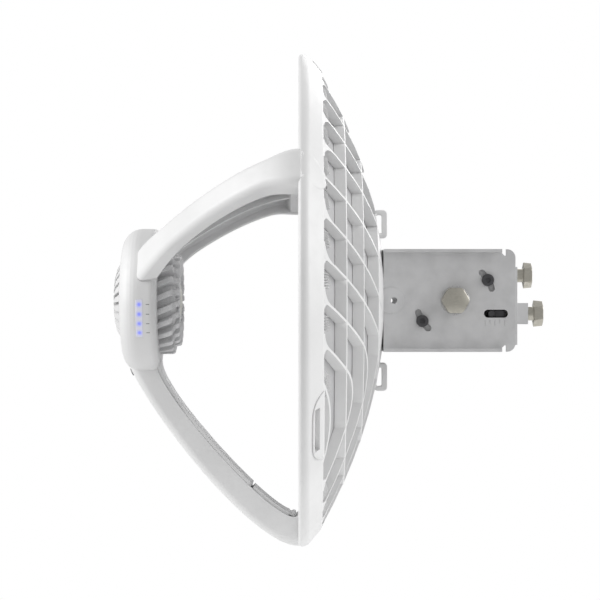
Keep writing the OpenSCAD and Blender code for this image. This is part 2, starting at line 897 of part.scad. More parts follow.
// Adjusting screw along X: hexagon head, plain neck and thread
module drive_screw(neck_x, head_x, tip_x, head_h) {
    translate([head_x, 0, 0]) rotate([0, 90, 0]) intersection() {
        hex(drive_head_w, head_h);
        cylinder(h = head_h, r1 = 10.9, r2 = 10.2);
    }
    rod_x(neck_x + 0.05, head_x, drive_neck);
    rod_x(tip_x, neck_x + 1, drive_shaft);
}

module elevation_screw() {
    color("tan") translate([0, 0, tilt_z]) drive_screw(carriage_rear, 64.1, 37, 6.7);
}

module elevation_nut() {
    half_len = 2.8;
    color("silver") difference() {
        union() {
            translate([tilt_nut_x, 0, tilt_z]) box([-half_len, -8, -8], [half_len, 8, 8]);
            translate([tilt_nut_x, 0, tilt_z]) rod_y(7, yoke_y - 0.5, 3);
        }
        translate([0, 0, tilt_z]) rod_x(20, 60, drive_shaft + run_gap);
    }
}

module azimuth_screw() {
    color("tan") translate([0, pan_y, pan_z]) drive_screw(64.6, 69.6, 37.5, 7.4);
}

// Nut block with the pointer seen in the scale window and the pin that the saddle's fork holds
module azimuth_nut() {
    color("dimgray") difference() {
        translate([pan_nut_x, pan_y, pan_z]) union() {
            box([-4.5, -6.5, -7.5], [4.5, 6.5, 7]);
            box([-10.5, -8.7, -2.6], [3, -6, 2.6]);
            translate([-8, 0, 0]) rod_y(-12.6, -7, 2.6);
            translate([0, 4, 6.5]) cylinder(h = 6.7, r = 2.5);
        }
        translate([0, pan_y, pan_z]) rod_x(20, 60, drive_shaft + run_gap);
    }
}

// Shape shared by the saddle and the jaw: a block with an ear at each corner for a clamp bolt
module clamp_block(x0, x1, ear0, ear1) {
    box([x0, -saddle_half_w, -saddle_half_h], [x1, saddle_half_w, saddle_half_h]);
    for (side = [-1, 1]) {
        translate([0, 0, side * clamp_z]) box([ear0, -30, -5], [ear1, 30, 5]);
    }
}

module clamp_places() {
    for (y = [-clamp_y, clamp_y], z = [-clamp_z, clamp_z]) {
        translate([0, y, z]) children();
    }
}

module pole_saddle() {
    tail_half_w = 17;
    tail_x = 24;
    fork_half_h = 2.5;
    fork_slot = 3.3;
    color("darkgray") difference() {
        union() {
            difference() {
                union() {
                    clamp_block(3, tail_x, 3, 20);
                    box([tail_x - 1, -tail_half_w, -saddle_half_h], [34, tail_half_w, saddle_half_h]);
                }
                clamp_places() {
                    rod_x(0, 50, m6 + screw_gap);
                    rod_x(20, 50, 6.5);
                }
                translate([stud_x, 0, 0]) cylinder(h = 100, r = 3.2, center = true);
                // relief that keeps the back of the block clear of the elevation nut
                box([32.4, -18, 12], [40, 18, 40]);
            }
            // fork that holds the azimuth nut's pin
            box([30, -tail_half_w, -fork_half_h], [47.3, -6, fork_half_h]);
            box([36, -28.5, -fork_half_h], [47.3, -6, fork_half_h]);
        }
        cylinder(h = 100, r = mast_r, center = true);
        box([pan_nut_x - fork_slot, -30, -5], [pan_nut_x + fork_slot, -9.4, 5]);
    }
}

module clamp_jaw() {
    color("darkgray") difference() {
        clamp_block(-26, -3, -16, -3);
        cylinder(h = 100, r = mast_r, center = true);
        clamp_places() {
            rod_x(-40, 0, m6 + screw_gap);
            rod_x(-40, -16, 6.2);
            translate([-16.1, 0, 0]) rotate([0, 90, 0]) rotate([0, 0, 30]) hex(10.2, 5.3);
        }
    }
}

module clamp_bolts() {
    color("silver") clamp_places() {
        rod_x(-25, 20, m6);
        translate([20, 0, 0]) rotate([0, 90, 0]) rotate([0, 0, 30]) hex(10, 4);
    }
}

module clamp_nuts() {
    color("silver") clamp_places() difference() {
        translate([-16, 0, 0]) rotate([0, 90, 0]) rotate([0, 0, 30]) hex(10, 5);
        rod_x(-20, 0, m6 + run_gap);
    }
}

module azimuth_studs() {
    color("silver") for (side = [-1, 1]) {
        translate([stud_x, 0, 0]) mirror([0, 0, side < 0 ? 1 : 0]) {
            translate([0, 0, 12]) cylinder(h = 29, r = 3.1);
            translate([0, 0, saddle_half_h]) cylinder(h = 3, r = 4);
        }
    }
}

module azimuth_stud_nuts() {
    color("silver") for (side = [-1, 1]) {
        mirror([0, 0, side < 0 ? 1 : 0]) translate([stud_x, 0, carriage_half_h]) difference() {
            union() {
                cylinder(h = 1.2, r = 7);
                translate([0, 0, 1.2]) hex(10, 4.8);
            }
            translate([0, 0, -1]) cylinder(h = 8, r = 3.1 + run_gap);
        }
    }
}

reflector();
back_frame();
hub_plate();
hub_screws();
tie_loops();
upper_arm_near();
upper_arm_far();
lower_arm();
lower_arm_cover();
arm_screws();
arm_latches();
radio_housing();
front_grille();
rear_heatsink();
head_gasket();
head_screws();
radio_board();
rf_shield();
feed_horn();
feed_cover();
led_board();
led_lens();
reset_button();
ethernet_jack();
port_seal();
data_cable();
port_door();
door_pin();
dish_yoke();
pivot_bolts();
pivot_washers();
pivot_nuts();
azimuth_carriage();
lock_screws();
lock_nuts();
elevation_screw();
elevation_nut();
azimuth_screw();
azimuth_nut();
pole_saddle();
clamp_jaw();
clamp_bolts();
clamp_nuts();
azimuth_studs();
azimuth_stud_nuts();
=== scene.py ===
# Looks of the outdoor wireless bridge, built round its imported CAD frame.
# Frame: +Z up, the dish looks along -X and the origin is on the mast's axis.
# Lengths are in millimetres, apart from the studio's at the end, which are in metres.
# Angles about the dish axis are in degrees: 0 is -Y, the side that the camera sees, and 90 is +Z.
import json
import math

import bmesh
import bpy
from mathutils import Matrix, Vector


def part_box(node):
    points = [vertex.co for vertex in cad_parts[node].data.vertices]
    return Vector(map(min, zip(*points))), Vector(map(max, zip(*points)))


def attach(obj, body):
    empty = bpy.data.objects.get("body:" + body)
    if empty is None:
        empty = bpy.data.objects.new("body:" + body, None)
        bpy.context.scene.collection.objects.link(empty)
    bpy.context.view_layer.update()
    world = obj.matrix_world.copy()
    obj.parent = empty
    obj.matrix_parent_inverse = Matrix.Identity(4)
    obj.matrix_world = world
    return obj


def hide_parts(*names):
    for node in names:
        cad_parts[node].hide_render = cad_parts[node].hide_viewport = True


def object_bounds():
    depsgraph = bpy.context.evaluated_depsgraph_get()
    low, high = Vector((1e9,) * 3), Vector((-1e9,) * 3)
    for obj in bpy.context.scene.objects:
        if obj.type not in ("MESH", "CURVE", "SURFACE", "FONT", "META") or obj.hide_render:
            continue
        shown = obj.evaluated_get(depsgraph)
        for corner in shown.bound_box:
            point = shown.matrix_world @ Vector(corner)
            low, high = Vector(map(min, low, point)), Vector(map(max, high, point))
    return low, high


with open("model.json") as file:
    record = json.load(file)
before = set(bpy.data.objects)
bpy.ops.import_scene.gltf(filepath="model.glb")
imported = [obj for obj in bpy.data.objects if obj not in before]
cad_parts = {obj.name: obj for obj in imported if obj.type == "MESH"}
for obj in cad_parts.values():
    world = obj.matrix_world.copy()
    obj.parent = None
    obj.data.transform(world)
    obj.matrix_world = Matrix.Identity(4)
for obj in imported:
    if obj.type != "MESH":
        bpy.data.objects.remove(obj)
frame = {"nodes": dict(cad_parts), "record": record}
cad_low, cad_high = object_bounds()

MM = 0.001


def low(node):
    """Low corner of a CAD node's box, in millimetres."""
    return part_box(node)[0] / MM


def high(node):
    """High corner of a CAD node's box, in millimetres."""
    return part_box(node)[1] / MM


# ---------- sizes taken from the frame ----------

HEAD_R = high("radio_housing").y
HEAD_BACK = high("radio_housing").x
RIM_R = high("back_frame").y
RIM_FRONT = low("back_frame").x
LIGHT_X = (low("led_lens").x + high("led_lens").x) / 2
SINK_R = high("rear_heatsink").y
SINK_TIP = high("rear_heatsink").x
CREST_X = high("hub_plate").x + 2.8
WALL_R = RIM_R - 18

# ---------- other sizes shared by several parts ----------

ARM_ANGLES = {"upper_arm_near": 30, "upper_arm_far": 150, "lower_arm": -90}
LIGHT_MID = -14.5
LIGHT_PITCH = 7.6
LIGHT_ANGLES = [LIGHT_MID + LIGHT_PITCH * (i - 1.5) for i in range(4)]
FOCAL = 166.7

# Each field has V-shaped pairs of ribs. RIB_APEX lists them: the angle between the field's middle line and
# the rib's end at the rim, and the radius of its apex on that line.
FIELD_ANGLES = (-30, 90, 210)
RIB_APEX = {20: 134, 30: 97, 40: 65, 50: 38, 60: 0}
RIB_ENDS = sorted([-end for end in RIB_APEX] + list(RIB_APEX))
RIB_HALF = 1.0


# ---------- materials ----------


class Shader:
    """Small helper that adds nodes to one material and links them."""

    def __init__(self, name):
        self.mat = bpy.data.materials.new(name)
        self.mat.use_nodes = True
        self.tree = self.mat.node_tree
        self.body = self.tree.nodes["Principled BSDF"]
        coords = self.tree.nodes.new("ShaderNodeTexCoord")
        self.place = coords.outputs["Object"]

    def add(self, kind, **values):
        node = self.tree.nodes.new(kind)
        for key, value in values.items():
            setattr(node, key, value)
        return node

    def join(self, source, target):
        self.tree.links.new(source, target)

    def stretched(self, stretch):
        """The object's own coordinates, scaled along each axis."""
        mapping = self.add("ShaderNodeMapping")
        mapping.inputs["Scale"].default_value = stretch
        self.join(self.place, mapping.inputs["Vector"])
        return mapping.outputs["Vector"]

    def noise(self, size_mm, detail=3.0, place=None):
        """Cloudy values from 0 to 1 with features of about this size."""
        node = self.add("ShaderNodeTexNoise")
        node.inputs["Scale"].default_value = 1 / (size_mm * MM)
        node.inputs["Detail"].default_value = detail
        self.join(place or self.place, node.inputs["Vector"])
        return node.outputs["Fac"]

    def span(self, value, from_low, from_high, to_low, to_high):
        """Maps one range of values to another, and holds it at both ends."""
        node = self.add("ShaderNodeMapRange")
        node.inputs["From Min"].default_value = from_low
        node.inputs["From Max"].default_value = from_high
        node.inputs["To Min"].default_value = to_low
        node.inputs["To Max"].default_value = to_high
        self.join(value, node.inputs["Value"])
        return node.outputs["Result"]

    def mix(self, share, first, second):
        """Blends two colours. Each is a tuple or the output of a node."""
        node = self.add("ShaderNodeMix", data_type="RGBA")
        for key, value in (("A", first), ("B", second)):
            socket = [s for s in node.inputs if s.name == key and s.type == "RGBA"][0]
            if isinstance(value, tuple):
                socket.default_value = value
            else:
                self.join(value, socket)
        self.join(share, node.inputs[0])
        return [s for s in node.outputs if s.type == "RGBA"][0]

    def edges(self, radius_mm):
        """0 on flat ground and 1 on a convex or concave edge."""
        bevel = self.add("ShaderNodeBevel", samples=4)
        bevel.inputs["Radius"].default_value = radius_mm * MM
        flat = self.add("ShaderNodeNewGeometry")
        dot = self.add("ShaderNodeVectorMath", operation="DOT_PRODUCT")
        self.join(bevel.outputs["Normal"], dot.inputs[0])
        self.join(flat.outputs["Normal"], dot.inputs[1])
        still_flat = 0.99
        full_edge = 0.86
        return self.span(dot.outputs["Value"], still_flat, full_edge, 0, 1)

    def bump(self, *layers):
        """Softens the edges' shading a little, then adds layers of (height, strength, depth in mm)."""
        soften_mm = 0.4
        rounded = self.add("ShaderNodeBevel", samples=4)
        rounded.inputs["Radius"].default_value = soften_mm * MM
        normal = rounded.outputs["Normal"]
        for height, strength, depth in layers:
            node = self.add("ShaderNodeBump")
            node.inputs["Strength"].default_value = strength
            node.inputs["Distance"].default_value = depth * MM
            self.join(height, node.inputs["Height"])
            self.join(normal, node.inputs["Normal"])
            normal = node.outputs["Normal"]
        self.join(normal, self.body.inputs["Normal"])


def shade(color, factor=1.0):
    """A colour made darker or paler by a factor, with full alpha."""
    return tuple(min(1.0, c * factor) for c in color) + (1.0,)


def plastic(name, color, rough, grain=0.25):
    """Moulded plastic: fine spark-eroded grain, slow colour drift and a little dust."""
    s = Shader(name)
    drift = s.noise(60, 2)
    dust = s.noise(9, 5)
    fine = s.noise(grain, 2)
    tone = s.mix(s.span(drift, 0.35, 0.65, 0, 1), shade(color, 0.965), shade(color, 1.02))
    tone = s.mix(s.span(dust, 0.56, 0.78, 0, 0.22), tone, shade(color, 0.88))
    s.join(tone, s.body.inputs["Base Color"])
    s.join(s.span(dust, 0.3, 0.7, rough - 0.06, rough + 0.08), s.body.inputs["Roughness"])
    s.bump((fine, 0.35, 0.03), (s.noise(2.5, 2), 0.12, 0.05))
    return s.mat


def painted(name, color, rough):
    """Powder coat: orange-peel bump, paler rubbed edges and faint stains."""
    s = Shader(name)
    stain = s.noise(14, 6)
    tone = s.mix(s.span(stain, 0.4, 0.7, 0, 1), shade(color, 1.02), shade(color, 0.9))
    tone = s.mix(s.span(s.edges(0.6), 0, 1, 0, 0.4), tone, shade(color, 1.35))
    s.join(tone, s.body.inputs["Base Color"])
    s.join(s.span(stain, 0.3, 0.7, rough - 0.08, rough + 0.1), s.body.inputs["Roughness"])
    s.body.inputs["Metallic"].default_value = 0.25
    s.bump((s.noise(0.9, 2), 0.3, 0.04), (s.noise(0.25, 2), 0.2, 0.02))
    return s.mat


def cast(name, color, rough):
    """Painted die casting: sandy skin, dark in the pores and pale on its edges."""
    s = Shader(name)
    pores = s.noise(0.6, 5)
    cloud = s.noise(18, 3)
    tone = s.mix(s.span(pores, 0.35, 0.62, 0, 1), shade(color, 0.82), shade(color, 1.05))
    tone = s.mix(s.span(cloud, 0.45, 0.7, 0, 0.4), tone, shade(color, 0.86))
    tone = s.mix(s.span(s.edges(0.5), 0, 1, 0, 0.35), tone, shade(color, 1.3))
    s.join(tone, s.body.inputs["Base Color"])
    s.join(s.span(cloud, 0.3, 0.7, rough - 0.08, rough + 0.1), s.body.inputs["Roughness"])
    s.body.inputs["Metallic"].default_value = 0.1
    s.bump((pores, 0.4, 0.05), (s.noise(2.2, 2), 0.15, 0.06))
    return s.mat


def steel(name, color, rough=0.32, stretch=(0.06, 1.0, 1.0), metal=0.95):
    """Turned or drawn metal: fine lines along one direction, smudges and bright edges."""
    s = Shader(name)
    lines = s.noise(0.16, 3, s.stretched(stretch))
    smudge = s.noise(5, 4)
    tone = s.mix(s.span(lines, 0.35, 0.65, 0, 1), shade(color, 0.86), shade(color, 1.08))
    tone = s.mix(s.span(smudge, 0.52, 0.75, 0, 0.35), tone, shade(color, 0.78))
    tone = s.mix(s.span(s.edges(0.35), 0, 1, 0, 0.5), tone, shade(color, 1.3))
    s.join(tone, s.body.inputs["Base Color"])
    s.join(s.span(smudge, 0.3, 0.7, rough - 0.08, rough + 0.14), s.body.inputs["Roughness"])
    s.body.inputs["Metallic"].default_value = metal
    s.bump((lines, 0.3, 0.015), (s.noise(1.8, 2), 0.08, 0.03))
    return s.mat


def rubber(name, color):
    """Dull black rubber with a fine grain and a pale bloom."""
    s = Shader(name)
    fine = s.noise(0.35, 4)
    bloom = s.noise(7, 4)
    tone = s.mix(s.span(bloom, 0.45, 0.75, 0, 0.6), shade(color), shade(color, 2.2))
    s.join(tone, s.body.inputs["Base Color"])
    s.join(s.span(bloom, 0.3, 0.7, 0.62, 0.85), s.body.inputs["Roughness"])
    s.bump((fine, 0.4, 0.04))
    return s.mat


def circuit(name):
    """Solder mask with copper tracks under it."""
    s = Shader(name)
    tracks = s.add("ShaderNodeTexBrick")
    tracks.inputs["Scale"].default_value = 160
    tracks.inputs["Mortar Size"].default_value = 0.03
    tracks.inputs["Color1"].default_value = (0.02, 0.16, 0.07, 1)
    tracks.inputs["Color2"].default_value = (0.015, 0.12, 0.05, 1)
    tracks.inputs["Mortar"].default_value = (0.10, 0.30, 0.12, 1)
    s.join(s.place, tracks.inputs["Vector"])
    tone = s.mix(s.span(s.noise(6, 3), 0.4, 0.7, 0, 0.5), tracks.outputs["Color"], (0.03, 0.2, 0.08, 1))
    s.join(tone, s.body.inputs["Base Color"])
    s.join(s.span(s.noise(3, 3), 0.3, 0.7, 0.22, 0.4), s.body.inputs["Roughness"])
    s.bump((tracks.outputs["Fac"], 0.3, 0.03))
    return s.mat


def lens(name):
    """Clear strip, cold white, with four blue lights glowing through it."""
    s = Shader(name)
    halo_r = 4.2
    core_r = 0.9
    fall_off = 2.6
    glow = None
    for angle in LIGHT_ANGLES:
        away = s.add("ShaderNodeVectorMath", operation="DISTANCE")
        away.inputs[1].default_value = polar(HEAD_R, angle, LIGHT_X) * MM
        s.join(s.place, away.inputs[0])
        spot = s.span(away.outputs["Value"], halo_r * MM, core_r * MM, 0, 1)
        power = s.add("ShaderNodeMath", operation="POWER")
        power.inputs[1].default_value = fall_off
        s.join(spot, power.inputs[0])
        if glow is None:
            glow = power.outputs[0]
        else:
            more = s.add("ShaderNodeMath", operation="MAXIMUM")
            s.join(glow, more.inputs[0])
            s.join(power.outputs[0], more.inputs[1])
            glow = more.outputs[0]
    tone = s.mix(s.span(s.noise(2, 3), 0.4, 0.7, 0, 0.5), (0.78, 0.78, 0.83, 1), (0.72, 0.72, 0.8, 1))
    s.body.inputs["Roughness"].default_value = 0.22
    s.join(s.mix(glow, (0.55, 0.55, 0.95, 1), (0.16, 0.2, 1.0, 1)), s.body.inputs["Emission Color"])
    s.join(s.span(glow, 0, 1, 0.12, 0.42), s.body.inputs["Emission Strength"])
    s.join(s.mix(glow, tone, (0.3, 0.34, 0.86, 1)), s.body.inputs["Base Color"])
    s.bump((s.noise(0.5, 2), 0.1, 0.02))
    return s.mat


# ---------- geometry helpers ----------


def polar(r, phi, x):
    """Point at radius r from the dish axis and angle phi in degrees: 0 is -Y and 90 is +Z."""
    turn = math.radians(phi)
    return Vector((x, -r * math.cos(turn), r * math.sin(turn)))


def crest(r):
    """Where the rib crests stand along X at radius r. They follow the bowl's parabola."""
    return CREST_X - r * r / (4 * FOCAL)


def cubic(points, t):
    """Point at share t of a cubic curve with four (radius, x) control points."""
    weights = ((1 - t) ** 3, 3 * t * (1 - t) ** 2, 3 * t * t * (1 - t), t**3)
    return Vector([sum(w * p[axis] for w, p in zip(weights, points)) for axis in (0, 1)])


def smooth(start, end, value):
    """0 before start and 1 after end, with a soft step between them."""
    t = max(0.0, min(1.0, (value - start) / (end - start)))
    return t * t * (3 - 2 * t)


def arc(cx, cy, r, start, end, steps):
    """Points along an arc round (cx, cy), from one angle in degrees to another."""
    return [
        (cx + r * math.cos(math.radians(a)), cy + r * math.sin(math.radians(a)))
        for a in (start + (end - start) * i / steps for i in range(steps + 1))
    ]


def make_piece(name, verts, faces, slot, nodes=()):
    """Adds one mesh piece on the dish. It stands in for the CAD nodes that are named, if any."""
    mesh = bpy.data.meshes.new(name)
    mesh.from_pydata([tuple(v * MM) for v in verts], [], faces)
    work = bmesh.new()
    work.from_mesh(mesh)
    bmesh.ops.remove_doubles(work, verts=work.verts, dist=1e-7)
    bmesh.ops.dissolve_degenerate(work, edges=work.edges, dist=1e-7)
    bmesh.ops.recalc_face_normals(work, faces=work.faces)
    work.to_mesh(mesh)
    work.free()
    for polygon in mesh.polygons:
        polygon.use_smooth = True
    piece = bpy.data.objects.new(name, mesh)
    bpy.context.scene.collection.objects.link(piece)
    mesh.materials.append(MATERIALS[slot])
    weigh_normals(piece)
    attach(piece, "dish")
    if nodes:
        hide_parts(*nodes)


def weigh_normals(piece):
    """Lets the broad faces set the shading, so that they look flat beside their small edge faces."""
    weighted = piece.modifiers.new("face_weighting", "WEIGHTED_NORMAL")
    weighted.weight = 60
    weighted.keep_sharp = True


def round_edges(node, radius):
    """Gives a small CAD part rounded edges by modifiers, which leave its own points as they are."""
    mesh = node.data
    mesh.attributes.remove(mesh.attributes["custom_normal"])
    for polygon in mesh.polygons:
        polygon.use_smooth = True
    weld = node.modifiers.new("seam_weld", "WELD")
    weld.merge_threshold = 1e-6
    flat = node.modifiers.new("flat_faces", "DECIMATE")
    flat.decimate_type = "DISSOLVE"
    flat.angle_limit = math.radians(0.4)
    rounding = node.modifiers.new("edge_rounding", "BEVEL")
    rounding.width = radius * MM
    rounding.segments = 2
    rounding.limit_method = "ANGLE"
    rounding.angle_limit = math.radians(30)
    rounding.use_clamp_overlap = False
    weigh_normals(node)


def loft(rings, closed_ends=True):
    """Verts and faces of a skin through rings that all have the same number of points."""
    n = len(rings[0])
    verts = [v for ring in rings for v in ring]
    faces = []
    for i in range(len(rings) - 1):
        here = i * n
        there = here + n
        faces += [(here + j, here + (j + 1) % n, there + (j + 1) % n, there + j) for j in range(n)]
    if closed_ends:
        faces.append(tuple(range(n - 1, -1, -1)))
        last = (len(rings) - 1) * n
        faces.append(tuple(last + j for j in range(n)))
    return verts, faces


def merge(parts):
    """Verts and faces of several skins as one mesh."""
    verts = []
    faces = []
    for part_verts, part_faces in parts:
        start = len(verts)
        verts += part_verts
        faces += [tuple(start + i for i in face) for face in part_faces]
    return verts, faces


def revolve(outline, steps=144):
    """Solid of revolution about the dish axis from a closed outline of (radius, x) points."""
    rings = [[polar(max(r, 0.02), 360 * i / steps, x) for r, x in outline] for i in range(steps)]
    rings.append(rings[0])
    return loft(rings, closed_ends=False)


# ---------- arms ----------

# Each arm lies between two cubic curves of (radius, x) control points, which run from the head to the rim.
UPPER_OUTER = [(HEAD_R - 1.2, -256), (94.2, -241.8), (RIM_R, -166.6), (RIM_R, RIM_FRONT)]
UPPER_INNER = [(HEAD_R + 4, -239), (105, -222), (RIM_R - 19, -165), (RIM_R - 17, RIM_FRONT)]
LOWER_OUTER = [(HEAD_R - 15.5, -270.2), (88.4, -254.8), (RIM_R, -164.1), (RIM_R, RIM_FRONT)]
LOWER_INNER = [(HEAD_R - 8.8, -238.3), (62.5, -252.8), (RIM_R - 9, -132), (RIM_R - 30, RIM_FRONT)]
UPPER_HALF = 12.5
LOWER_HALF = 14.0
ARM_CORNER = 6.0
SHELL_SHARE = 0.87  # of the lower arm's thickness. The lid has the rest.


def half_width(x, middle):
    """Half the width of an arm at x: wide at both ends and slim between."""
    head_half = 16
    foot_half = 16.5
    head = head_half - (head_half - middle) * smooth(-250, -222, x)
    foot = middle + (foot_half - middle) * smooth(-152, RIM_FRONT, x)
    return max(head, foot)


def on_arm(section, phi, start, across):
    """Puts a cross-section of (height, side) points on an arm, bent round the dish axis."""
    placed = []
    for height, side in section:
        p = start + across * height
        placed.append(polar(p.x, phi + math.degrees(side / p.x), p.y))
    return placed


def channel_ring(phi, outer, inner, t, middle, floor, rib, wall):
    """Cross-section of an open channel: a rounded outer skin, two walls and a rib between them.

    The channel's floor and the rib's top are heights above the outer skin.
    """
    outside = cubic(outer, t)
    inside = cubic(inner, t)
    depth = (inside - outside).length
    across = (inside - outside) / depth
    half = half_width((outside.y + inside.y) / 2, middle)
    corner = ARM_CORNER
    bottom = min(floor, depth - 0.4)
    top = max(bottom + 0.05, min(rib, depth - 0.3))
    lip = 0.5
    fillet = min(2.0, depth - bottom)
    rib_half = 0.9
    rib_foot = 0.8
    side = arc(corner, half - corner, corner, 180, 90, 8)
    side += arc(depth - lip, half - lip, lip, 90, 0, 3)
    side += arc(depth - lip, half - wall + lip, lip, 0, -90, 3)
    side += arc(bottom + fillet, half - wall - fillet, fillet, 90, 180, 4)
    side += [(bottom, rib_half + rib_foot), (bottom + min(rib_foot, (top - bottom) / 2), rib_half)]
    side += [(top - 0.02, rib_half), (top, rib_half - 0.3)]
    section = side + [(height, -y) for height, y in reversed(side)]
    return on_arm(section, phi, outside, across)


def into_rim(ring):
    """The last ring of an arm pushed on into the rim, so that no gap shows at the rounded corner."""
    return [v + Vector((4, 0, 0)) for v in ring]


def spaced(start, end, steps, dense):
    """Steps from start to end with extra ones near the listed (centre, width) places."""
    extra = 6
    values = {round(start + (end - start) * i / steps, 6) for i in range(steps + 1)}
    for centre, width in dense:
        values |= {round(centre + width * (k / extra - 0.5), 6) for k in range(extra + 1)}
    return sorted(v for v in values if start <= v <= end)


def upper_arm(name, lean):
    """Open channel with a middle rib. It is solid at both ends."""
    phi = ARM_ANGLES[name]
    skin = 2.6
    wall = 2.2
    rib_share = 0.84
    rings = []
    for t in spaced(0, 1, 56, [(0.075, 0.05), (0.925, 0.05)]):
        depth = (cubic(UPPER_INNER, t) - cubic(UPPER_OUTER, t)).length
        pocket = smooth(0.055, 0.095, t) * (1 - smooth(0.905, 0.945, t))
        floor = depth * (1 - pocket) + skin * pocket
        rib = rib_share * depth
        rings.append(channel_ring(phi, UPPER_OUTER, UPPER_INNER, t, UPPER_HALF, floor, rib, wall))
    rings.append(into_rim(rings[-1]))
    make_piece(name + "_shell", *merge([loft(rings), hood(phi, lean)]), "white_plastic", [name])


def hood(phi, lean):
    """Skin of the foot that folds over the rim. Its nose leans to one side by lean, from -1 to 1."""
    skin = 0.65
    edge_skin = 0.04
    sink = 0.2
    curl = 8
    half = 16.4
    narrowing = 7.5
    bluntness = 13
    steps = 7
    columns = 20
    slope_end = (RIM_R - 14.2, crest(RIM_R - 15) + 0.3)
    tip = (RIM_R - 19, crest(RIM_R - 19) + 0.5)
    path = arc(RIM_R - curl, RIM_FRONT + 3, curl - sink, 20, 50, 6)
    for start, end in ((path[-1], slope_end), (slope_end, tip)):
        path += [
            (start[0] + (end[0] - start[0]) * k / steps, start[1] + (end[1] - start[1]) * k / steps)
            for k in range(1, steps + 1)
        ]
    rings = []
    for i, (r, x) in enumerate(path):
        before = path[max(i - 1, 0)]
        after = path[min(i + 1, len(path) - 1)]
        along = Vector((after[0] - before[0], after[1] - before[1])).normalized()
        normal = Vector((along.y, -along.x))
        share = max(0.0, min(1.0, (x - path[0][1]) / (tip[1] - path[0][1])))
        blunt = bluntness * (1 - math.sqrt(1 - min(share, 0.999) ** 5))
        high_side = half - blunt - (1 + lean) * narrowing * share
        low_side = -half + blunt + (1 - lean) * narrowing * share
        ring = []
        for upper, order in ((1, range(columns + 1)), (0, range(columns, -1, -1))):
            for k in order:
                u = -1 + 2 * k / columns
                y = low_side + (high_side - low_side) * k / columns
                out = upper * (edge_skin + skin * (1 - abs(u) ** 6) * smooth(0, 0.5, share))
                ring.append(polar(r + normal.x * out, phi + math.degrees(y / r), x + normal.y * out))
        rings.append(ring)
    return loft(rings)


def block_ring(phi, outer, inner, t, half, start, end, corner):
    """Rounded rectangle between two shares of an arm's thickness."""
    outside = cubic(outer, t)
    inside = cubic(inner, t)
    bottom = outside + (inside - outside) * start
    top = outside + (inside - outside) * end
    depth = (top - bottom).length
    c = min(corner, depth * 0.49)
    section = arc(depth - c, half - c, c, 90, 0, 4) + arc(depth - c, -half + c, c, 0, -90, 4)
    section += arc(c, -half + c, c, -90, -180, 4) + arc(c, half - c, c, 180, 90, 4)
    return on_arm(section, phi, bottom, (top - bottom) / depth)


def lower_arm():
    """Channel without a rib, and the lid that closes it from the head to the port door."""
    phi = ARM_ANGLES["lower_arm"]
    skin = 3.0
    wall = 2.6
    lid_gap = 0.15
    lid_corner = 0.5
    edge = [
        Vector(a) * (1 - SHELL_SHARE) + Vector(b) * SHELL_SHARE for a, b in zip(LOWER_OUTER, LOWER_INNER)
    ]
    rings = []
    for t in spaced(0.035, 1, 60, [(0.93, 0.05)]):
        depth = (cubic(edge, t) - cubic(LOWER_OUTER, t)).length
        pocket = 1 - smooth(0.915, 0.945, t)
        floor = (depth - 0.5) * (1 - pocket) + skin * pocket
        rings.append(channel_ring(phi, LOWER_OUTER, edge, t, LOWER_HALF, floor, 0.0, wall))
    rings.append(into_rim(rings[-1]))
    make_piece("lower_arm_shell", *merge([loft(rings), hood(phi, 0)]), "white_plastic", ["lower_arm"])
    rings = []
    for t in spaced(0.045, 0.656, 40, []):
        half = half_width(cubic(edge, t).y, LOWER_HALF) - lid_gap
        rings.append(block_ring(phi, LOWER_OUTER, LOWER_INNER, t, half, SHELL_SHARE, 1, lid_corner))
    make_piece("lower_arm_lid", *loft(rings), "inner_white_plastic", ["lower_arm_cover"])


# ---------- small mouldings on the dish ----------


def frame_loop(x0, x1, z0, z1, c):
    """Closed outline in X and Z with corners of radius c, 24 points."""
    ring = arc(x1 - c, z1 - c, c, 90, 0, 5) + arc(x1 - c, z0 + c, c, 0, -90, 5)
    return ring + arc(x0 + c, z0 + c, c, -90, -180, 5) + arc(x0 + c, z1 - c, c, 180, 90, 5)


def tie_loops():
    """Two strap loops: rounded frames with soft edges that stand on the hub band."""
    back = high("tie_loops").x
    half_y = high("tie_loops").y
    half_z = 11.8
    slot_half_z = 7.8
    centre = high("tie_loops").z - half_z
    # Each ring of a soft edge is moved across the outline by its first number, and lies its second number
    # below the loop's side.
    outer_edge = ((-1.0, 0), (-0.3, 0.3), (0, 1.0))
    slot_edge = ((0.8, 0), (0.2, 0.3), (0, 0.9))
    parts = []
    for side in (-1, 1):
        z = side * centre
        outer = frame_loop(back - 11, back, z - half_z, z + half_z, 3.2)
        slot = frame_loop(back - 9, back - 4.4, z - slot_half_z, z + slot_half_z, 1.6)
        section = [(outer, grow, -half_y + below) for grow, below in outer_edge]
        section += [(outer, grow, half_y - below) for grow, below in reversed(outer_edge)]
        section += [(slot, grow, half_y - below) for grow, below in slot_edge]
        section += [(slot, grow, -half_y + below) for grow, below in reversed(slot_edge)]
        rings = []
        for outline, grow, y in section:
            middle = Vector((sum(p[0] for p in outline), sum(p[1] for p in outline))) / len(outline)
            ring = []
            for px, pz in outline:
                away = (Vector((px, pz)) - middle).normalized() * grow
                ring.append(Vector((px + away.x, y, pz + away.y)))
            rings.append(ring)
        rings.append(rings[0])
        parts.append(loft(rings, closed_ends=False))
    make_piece("strap_loops", *merge(parts), "white_plastic", ["tie_loops"])


